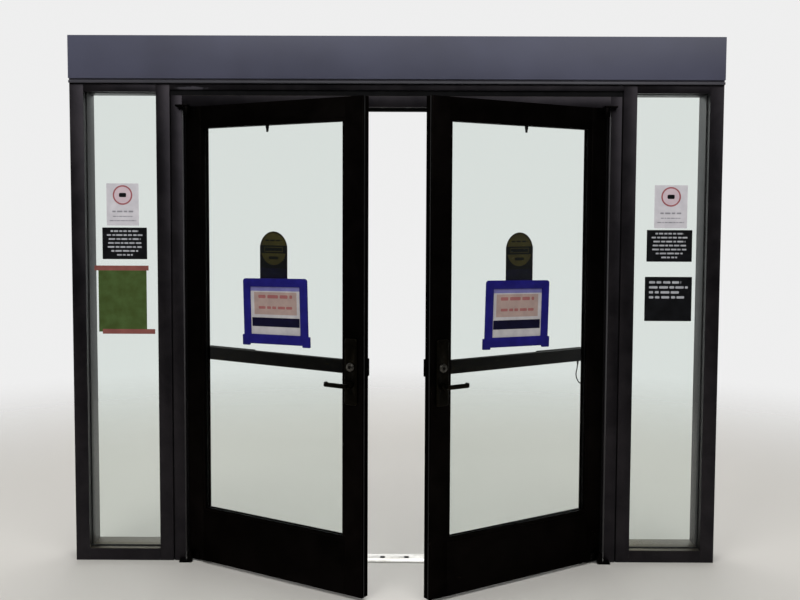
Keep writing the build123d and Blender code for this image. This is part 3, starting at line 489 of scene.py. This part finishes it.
# Pivot pins a hair thinner, so that their facets clear the bores' as a leaf turns, and the backs of
# the sign holders a hair off the glass, so that no two faces share a place
hairGaps = {
    "pinReach": 8 * mm, "pinCut": 0.12 * mm,  # radius that holds the pins, and what comes off theirs
    "holderBack": 18.99 * mm,                 # from the leaf's front face
}
for vert in softPieces["frame_pivots"].data.vertices:
    for side in sides:
        outward = (vert.co - pivotPoint(side)) * Vector((1, 1, 0))
        if outward.length < hairGaps["pinReach"]:
            vert.co -= outward.normalized() * hairGaps["pinCut"]
for side in sides:
    holderMesh = softPieces[f"{side}_sign_holder"].data
    holderMesh.transform(leafMatrix(side).inverted())
    for vert in holderMesh.vertices:
        vert.co.y = min(vert.co.y, hairGaps["holderBack"])
    holderMesh.transform(leafMatrix(side))

plainFinishes = {  # CAD nodes that keep their own mesh
    "sidelite_glass": "glass", "sidelite_gaskets": "rubber", "header_back": "trim",
    "joint_filler": "joint", "weatherstrip": "rubber", "strikes": "strike", "frame_screws": "screw",
}
for side in sides:
    plainFinishes |= {f"{side}_glass": "glass", f"{side}_seals": "rubber", f"{side}_key_plug": "plug",
                      f"{side}_top_bolt": "rod", f"{side}_bottom_bolt": "rod",
                      f"{side}_bolt_guides": "nylon"}
for node, finish in plainFinishes.items():
    nodes[node].data.materials.clear()
    nodes[node].data.materials.append(finishes[finish])
print("frame and leaves finished")


# Flat sheets and marks, built up in layers of slabs and discs

def addSlab(shape, centre, size, corner=0.0, slot=0):
    made = bmesh.ops.create_cube(shape, size=1.0)["verts"]
    bmesh.ops.scale(shape, verts=made, vec=size)
    bmesh.ops.translate(shape, verts=made, vec=centre)
    faces = list({face for vert in made for face in vert.link_faces})
    for face in faces:
        face.material_index = slot
    if corner:
        upright = [edge for edge in {e for f in faces for e in f.edges}
                   if abs(edge.verts[0].co.y - edge.verts[1].co.y) > size[1] / 2]
        offset = min(corner, 0.49 * size[0], 0.49 * size[2])  # rounded corners never meet
        bmesh.ops.bevel(shape, geom=upright, offset=offset, affect="EDGES", segments=4, profile=0.5,
                        material=-1)


def addDisc(shape, centre, radius, thickness, slot=0, inner=0.0):
    turn = Matrix.Translation(centre) @ Matrix.Rotation(math.radians(90), 4, "X")
    rim = bmesh.ops.create_circle(shape, segments=64, radius=radius, cap_ends=not inner,
                                  matrix=turn)["verts"]
    if inner:
        inside = bmesh.ops.create_circle(shape, segments=64, radius=inner, matrix=turn)["verts"]
        loops = list({e for v in rim + inside for e in v.link_edges})
        flat = bmesh.ops.bridge_loops(shape, edges=loops)["faces"]
    else:
        flat = list({f for v in rim for f in v.link_faces})
    for face in flat:
        face.material_index = slot
    lifted = bmesh.ops.extrude_face_region(shape, geom=flat)["geom"]
    moved = [item for item in lifted if isinstance(item, bmesh.types.BMVert)]
    bmesh.ops.translate(shape, verts=moved, vec=(0, -thickness, 0))
    disc = {f for v in moved for f in v.link_faces} | set(flat)
    bmesh.ops.recalc_face_normals(shape, faces=list(disc))


def sheetPiece(name, shape, materials, body, replaced=None, place=None):
    bmesh.ops.recalc_face_normals(shape, faces=shape.faces)
    if place:
        bmesh.ops.transform(shape, matrix=place, verts=shape.verts)
    piece = newPiece(name, shape, materials)
    if replaced:
        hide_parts(replaced)
    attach(piece, body)


# Rows of short dashes have the rhythm of printed lines. A row is its middle or where it starts, its
# place above the floor, its width and its height.
dashes = {"length": (1.6, 4.2), "gap": (0.5, 0.8), "corner": 0.3}  # least and most, in heights of a row


def addRows(shape, rows, front, thickness, slot, seed, centred=True):
    dice = random.Random(seed)
    for place, z, width, height in rows:
        spans = []
        x = 0.0
        while x < width:
            length = min(width - x, dice.uniform(*dashes["length"]) * height)
            spans.append((x, length))
            end = x + length
            x = end + dice.uniform(*dashes["gap"]) * height
        start = place - end / 2 if centred else place
        for offset, length in spans:
            addSlab(shape, (start + offset + length / 2, front + thickness / 2, z),
                    (length, thickness, height), dashes["corner"] * height, slot)


def slotsOf(materials):
    return {name: slot for slot, name in enumerate(materials)}


laminate = {"grit": 2 * mm, "depth": 0.04}  # skin of a smooth print


# Sign holders: a printed insert behind the blue border

sign = {
    "centre": 511 * mm,                                 # of a holder, from its leaf's hinge edge
    "bottom": {"left": 1066 * mm, "right": 1063 * mm},  # of a holder, above the floor
    "width": 356 * mm, "height": 293 * mm,              # of a holder
    "tilt": 1.6,                                        # degrees, up to the free edge
    "side": 39 * mm, "top": 37 * mm, "base": 43 * mm,   # widths of its border
    "front": 15.4 * mm, "back": 17.05 * mm,             # of the insert, from the leaf's front face
    "corner": 3 * mm, "layer": 0.2 * mm,                # corners of the insert, and depth of its print
    # drops to the top and bottom of a block, its distance from the sides and its corners
    "blocks": {"strip": (0, 19 * mm, 0, 0), "field": (24 * mm, 124 * mm, 20 * mm, 1.5 * mm),
               "bar": (138 * mm, 178 * mm, 6 * mm, 2 * mm)},
    "rows": ((44 * mm, 190 * mm, 15 * mm), (93 * mm, 188 * mm, 12 * mm)),  # drop, width and height
    "seed": 11,
}
signFinishes = {
    "paper": mouldedSkin("insertPaper", "#9d9a9c", "#aca9a9", 0.55, gloss=0.15, **laminate),
    "strip": mouldedSkin("insertStrip", "#615f8e", "#6e6c9a", 0.5, gloss=0.15, **laminate),
    "field": mouldedSkin("insertField", "#8d7a74", "#9a867e", 0.55, gloss=0.15, **laminate),
    "red": mouldedSkin("insertRed", "#84504f", "#8f5c5a", 0.55, gloss=0.15, **laminate),
    "bar": mouldedSkin("insertBar", "#05041e", "#0a0927", 0.5, gloss=0.1, **laminate),
}
signSlots = slotsOf(signFinishes)

for side, hand in sides.items():
    centre = hand * sign["centre"]
    width = sign["width"] - 2 * sign["side"]
    low = sign["bottom"][side] + sign["base"]
    high = sign["bottom"][side] + sign["height"] - sign["top"]
    front, layer = sign["front"], sign["layer"]
    insert = bmesh.new()
    addSlab(insert, (centre, (front + sign["back"]) / 2, (low + high) / 2),
            (width, sign["back"] - front, high - low), sign["corner"], signSlots["paper"])
    for block, (top, bottom, margin, corner) in sign["blocks"].items():
        addSlab(insert, (centre, front - layer / 2, high - (top + bottom) / 2),
                (width - 2 * margin, layer, bottom - top), corner, signSlots[block])
    addRows(insert, [(centre, high - drop, length, height) for drop, length, height in sign["rows"]],
            front - 2 * layer, layer, signSlots["red"], sign["seed"])
    hub = Matrix.Translation((centre, 0, sign["bottom"][side] + sign["height"] / 2))
    tilted = hub @ Matrix.Rotation(math.radians(-hand * sign["tilt"]), 4, "Y") @ hub.inverted()
    sheetPiece(f"{side}SignInsert", insert, signFinishes.values(), f"{side}_leaf",
               place=leafMatrix(side) @ tilted)
print("signs made")


# Stickers behind the leaf glass: an olive disc over a dark block, brighter below a band across it

sticker = {
    "centre": 495.5 * mm,                           # from the leaf's hinge edge
    "top": 1567 * mm, "bottom": 1325 * mm, "radius": 77 * mm,
    "inner": (70 * mm, 1488 * mm),                  # radius and height of the brighter disc
    "band": (1470 * mm, 1505 * mm),                 # edges of the band
    "navy": 1404 * mm,                              # top of the navy foot
    "label": (104 * mm, 21 * mm, 2.5 * mm),         # width, height and line of the band's frame
    "mark": (54 * mm, 13 * mm, 7 * mm, 1450 * mm),  # width, height, corners and place of the dark mark
    "row": (22 * mm, 92 * mm, 7 * mm),              # rise over the band, width and height of its row
    "seed": 5,
    "front": 25.46 * mm, "thickness": 0.44 * mm,    # just off the glass
    "layers": 5,
}
stickerFinishes = {
    "olive": mouldedSkin("stickerOlive", "#28210a", "#352c0f", 0.5, gloss=0.1, **laminate),
    "dark": mouldedSkin("stickerDark", "#060605", "#0b0b0a", 0.5, gloss=0.1, **laminate),
    "mid": mouldedSkin("stickerMid", "#3f3614", "#4e431b", 0.5, gloss=0.1, **laminate),
    "navy": mouldedSkin("stickerNavy", "#08071e", "#0d0b29", 0.5, gloss=0.1, **laminate),
}
stickerSlots = slotsOf(stickerFinishes)

for side, hand in sides.items():
    centre = hand * sticker["centre"]
    width = 2 * sticker["radius"]
    bottom = sticker["bottom"]
    low, high = sticker["band"]
    layer = sticker["thickness"] / sticker["layers"]
    back = sticker["front"] + sticker["thickness"]
    levels = [back - layer * (number + 0.5) for number in range(sticker["layers"])]  # layers' middles
    decal = bmesh.new()
    radius = sticker["radius"]
    addDisc(decal, (centre, levels[0] + layer / 2, sticker["top"] - radius), radius, layer,
            stickerSlots["olive"])
    addSlab(decal, (centre, levels[1], (bottom + high) / 2), (width, layer, high - bottom), 0,
            stickerSlots["dark"])
    radius, height = sticker["inner"]
    addDisc(decal, (centre, levels[2] + layer / 2, height), radius, layer, stickerSlots["mid"])
    addSlab(decal, (centre, levels[2], (bottom + sticker["navy"]) / 2),
            (width, layer, sticker["navy"] - bottom), 0, stickerSlots["navy"])
    addSlab(decal, (centre, levels[3], (low + high) / 2), (width, layer, high - low), 0,
            stickerSlots["dark"])
    length, tall, corner, height = sticker["mark"]
    addSlab(decal, (centre, levels[3], height), (length, layer, tall), corner, stickerSlots["dark"])
    length, tall, line = sticker["label"]
    for end in (1, -1):
        addSlab(decal, (centre, levels[4], (low + high + end * (tall - line)) / 2),
                (length, layer, line), 0, stickerSlots["mid"])
    for end in (1, -1):
        addSlab(decal, (centre + end * (length - line) / 2, levels[4], (low + high) / 2),
                (line, layer, tall - 2 * line), 0, stickerSlots["mid"])
    rise, length, height = sticker["row"]
    addRows(decal, [(centre, high + rise, length, height)], levels[3] - layer / 2, layer,
            stickerSlots["dark"], sticker["seed"])
    sheetPiece(f"{side}Sticker", decal, stickerFinishes.values(), f"{side}_leaf", f"{side}_decal",
               leafMatrix(side))
print("stickers made")


# Notices on the sidelite glass: pale sheets with a ring, dark panels with pale rows, a taped green sheet

notice = {
    "middle": 1278.75 * mm,                      # of a sidelite, from the middle of the doorway
    "back": 42.765 * mm,                         # of the sheets, just off the glass
    "thickness": 0.24 * mm, "layer": 0.06 * mm,  # of a sheet, and of what lies on it
    # The rest is in millimetres. A sheet is its left and right edge, from the sidelite's middle, its
    # bottom and its top.
    "left": {"white": (-78, 73, 1586, 1783), "black": (-100, 110, 1428, 1577),
             "green": (-121, 106, 1085, 1386)},
    "right": {"white": (-69, 85, 1583, 1784), "black": (-102, 111, 1426, 1575),
              "tall": (-107, 114, 1146, 1355)},
    "tapes": ((-139, 116, 1375, 1398), (-104, 144, 1075, 1098)),  # over the green sheet's edges
    "paleCorner": 1, "darkCorner": 3,            # corners of sheets and tapes, and of dark panels
    "ring": (46, 39, 54),                        # outer and inner radius, and the drop to its middle
    "mark": (34, 20, 6),                         # width, height and corners of the mark in the ring
    "whiteRows": ((131, 98, 8), (154, 92, 5), (174, 124, 5)),  # drop, width and height
    # drop to the first row, distance from row to row, height and widths
    "blackRows": {"drop": 17, "step": 18.6, "height": 7.5,
                  "widths": (132, 172, 150, 156, 160, 126, 74)},
    "tallRows": {"drop": 26, "step": 23.5, "height": 11, "widths": (150, 182, 146, 168)},
    "tallIndent": 20,                            # of the tall sheet's rows, from its left edge
    "seeds": {"white": 21, "black": 31, "tall": 41},
}
noticeFinishes = {
    "paper": mouldedSkin("noticePaper", "#b4b1b6", "#c2bfc3", 0.6, 2 * mm, 0.05, 0.2),
    "black": mouldedSkin("noticeBlack", "#08090b", "#101114", 0.5, 2 * mm, 0.05, 0.1),
    "print": mouldedSkin("noticePrint", "#8c8d92", "#a6a7ab", 0.6, 2 * mm, 0.05, 0.2),
    "ringRed": mouldedSkin("ringRed", "#8a4a4e", "#97595b", 0.5, gloss=0.2, **laminate),
    "ringField": mouldedSkin("ringField", "#b5a3aa", "#bfadb3", 0.5, gloss=0.2, **laminate),
    "green": mouldedSkin("sheetGreen", "#37461b", "#41552a", 0.6, 3 * mm, 0.06, 0.15),
    "tape": mouldedSkin("tapeRed", "#74423c", "#824c45", 0.5, 2 * mm, 0.06, 0.2),
    "grey": mouldedSkin("noticeGrey", "#7c7b80", "#8c8b90", 0.6, gloss=0.2, **laminate),
}
noticeSlots = slotsOf(noticeFinishes)


# One sheet in its place: gives back the middle of its width and its top
def noticeSlab(shape, box, middle, front, thickness, finish, corner):
    left, right, low, high = (value * mm for value in box)
    centre = middle + (left + right) / 2
    addSlab(shape, (centre, front + thickness / 2, (low + high) / 2),
            (right - left, thickness, high - low), corner * mm, noticeSlots[finish])
    return centre, high


def stackedRows(place, top, drop, step, height, widths):
    return [(place, top - (drop + step * number) * mm, width * mm, height * mm)
            for number, width in enumerate(widths)]


for side, hand in sides.items():
    boxes = notice[side]
    middle = -hand * notice["middle"]
    thickness, layer = notice["thickness"], notice["layer"]
    front = notice["back"] - thickness
    pale, dark = notice["paleCorner"], notice["darkCorner"]
    sheets = bmesh.new()
    centre, top = noticeSlab(sheets, boxes["white"], middle, front, thickness, "paper", pale)
    outer, inner, drop = (value * mm for value in notice["ring"])
    addDisc(sheets, (centre, front, top - drop), inner, layer, noticeSlots["ringField"])
    addDisc(sheets, (centre, front - layer, top - drop), outer, layer, noticeSlots["ringRed"], inner)
    length, tall, corner = (value * mm for value in notice["mark"])
    addSlab(sheets, (centre, front - 1.5 * layer, top - drop), (length, layer, tall), corner,
            noticeSlots["black"])
    rows = [(centre, top - drop * mm, width * mm, height * mm)
            for drop, width, height in notice["whiteRows"]]
    addRows(sheets, rows, front - layer, layer, noticeSlots["grey"], notice["seeds"]["white"])
    centre, top = noticeSlab(sheets, boxes["black"], middle, front, thickness, "black", dark)
    addRows(sheets, stackedRows(centre, top, **notice["blackRows"]), front - layer, layer,
            noticeSlots["print"], notice["seeds"]["black"])
    if side == "left":
        noticeSlab(sheets, boxes["green"], middle, front, thickness, "green", pale)
        for box in notice["tapes"]:
            noticeSlab(sheets, box, middle, front - layer, layer, "tape", pale)
    else:
        top = noticeSlab(sheets, boxes["tall"], middle, front, thickness, "black", dark)[1]
        start = middle + (boxes["tall"][0] + notice["tallIndent"]) * mm
        addRows(sheets, stackedRows(start, top, **notice["tallRows"]), front - layer, layer,
                noticeSlots["print"], notice["seeds"]["tall"], centred=False)
    sheetPiece(f"{side}Notices", sheets, noticeFinishes.values(), "frame", "notices")
print("notices made")


# Plain studio: a pale floor that fades into a pale surround, and broad soft lamps above

studio = {
    "floor": "#c9c6c0", "floorRoughness": 0.6, "floorSize": 30.0,
    "floorDrop": 0.3 * mm,             # below the threshold's underside
    "fadeStart": 2.4, "fadeEnd": 6.4,  # distances at which the floor turns into the surround
    "light": 0.62,                     # strength of the soft light from all round
    "seen": 0.86,                      # of the surround itself, where 1 is white
    "mirroredAhead": 0.035,            # and as metal and glass mirror it, on the street side
    "mirroredBehind": 0.86,            # and on the inside
    "turnsAt": 0.4,                    # y of the directions at which these two are reached
    "lamps": (                         # place, aim, size, watts
        ((-2.6, -4.6, 5.4), (0, 0, 1.1), 3.0, 150),
        ((1.9, -4.3, 5.2), (0, 0, 1.1), 3.0, 105),
        ((0.0, 3.6, 4.8), (0, 0, 1.0), 4.0, 120),
    ),
}

floorFinish, tree, shader, place = newMaterial(
    "paleFloor", {"Base Color": hexColour(studio["floor"]), "Roughness": studio["floorRoughness"]})
away = addNode(tree, "ShaderNodeVectorMath", {"operation": "LENGTH"}, {0: place})
fade = addNode(tree, "ShaderNodeMapRange", {"interpolation_type": "SMOOTHSTEP"},
               {"Value": away.outputs["Value"], "From Min": studio["fadeStart"],
                "From Max": studio["fadeEnd"]})
clear = addNode(tree, "ShaderNodeBsdfTransparent")
faded = addNode(tree, "ShaderNodeMixShader",
                inputs={0: fade.outputs["Result"], 1: shader.outputs["BSDF"], 2: clear.outputs["BSDF"]})
tree.links.new(faded.outputs["Shader"], tree.nodes["Material Output"].inputs["Surface"])
floorShape = bmesh.new()
bmesh.ops.create_grid(floorShape, x_segments=1, y_segments=1, size=studio["floorSize"])
bmesh.ops.translate(floorShape, verts=floorShape.verts, vec=(0, 0, -studio["floorDrop"]))
floor = newPiece("floor", floorShape, [floorFinish])

world = bpy.data.worlds.new("studio")
scene.world = world
world.use_nodes = True
tree = world.node_tree
tree.nodes.clear()
rays = addNode(tree, "ShaderNodeLightPath")

# The surround shows pale to the camera, through glass and in gloss, and lights the doors more softly
seen = addNode(tree, "ShaderNodeMath", {"operation": "MAXIMUM"},
               {0: rays.outputs["Is Camera Ray"], 1: rays.outputs["Is Transmission Ray"]})
seenToo = addNode(tree, "ShaderNodeMath", {"operation": "MAXIMUM"},
                  {0: seen.outputs[0], 1: rays.outputs["Is Glossy Ray"]})
mirrored = addNode(tree, "ShaderNodeMath", {"operation": "SUBTRACT", "use_clamp": True},
                   {0: rays.outputs["Glossy Depth"], 1: rays.outputs["Is Diffuse Ray"]})

# What metal and glass mirror of it is dim on the street side and pale on the inside
heading = addNode(tree, "ShaderNodeSeparateXYZ",
                  inputs={"Vector": addNode(tree, "ShaderNodeTexCoord").outputs["Object"]})
glow = addNode(tree, "ShaderNodeMapRange", {"interpolation_type": "SMOOTHSTEP"},
               {"Value": heading.outputs["Y"],
                "From Min": -studio["turnsAt"], "From Max": studio["turnsAt"],
                "To Min": studio["mirroredAhead"], "To Max": studio["mirroredBehind"]})
white = {"Color": (1, 1, 1, 1)}
soft = addNode(tree, "ShaderNodeBackground", inputs=white | {"Strength": studio["light"]})
pale = addNode(tree, "ShaderNodeBackground", inputs=white | {"Strength": studio["seen"]})
glossy = addNode(tree, "ShaderNodeBackground", inputs=white | {"Strength": glow.outputs["Result"]})
shown = addNode(tree, "ShaderNodeMixShader",
                inputs={0: seenToo.outputs[0], 1: soft.outputs[0], 2: pale.outputs[0]})
whole = addNode(tree, "ShaderNodeMixShader",
                inputs={0: mirrored.outputs[0], 1: shown.outputs[0], 2: glossy.outputs[0]})
addNode(tree, "ShaderNodeOutputWorld", inputs={"Surface": whole.outputs[0]})

for number, (place, aim, size, watts) in enumerate(studio["lamps"]):
    lamp = bpy.data.lights.new(f"softLamp{number}", "AREA")
    lamp.shape = "SQUARE"
    lamp.size = size
    lamp.energy = watts
    lampPiece = bpy.data.objects.new(f"softLamp{number}", lamp)
    scene.collection.objects.link(lampPiece)
    lampPiece.location = place
    lampPiece.rotation_euler = (Vector(aim) - Vector(place)).to_track_quat("-Z", "Y").to_euler()
scene.view_settings.view_transform = "Standard"
print("studio lit")

bpy.context.view_layer.update()
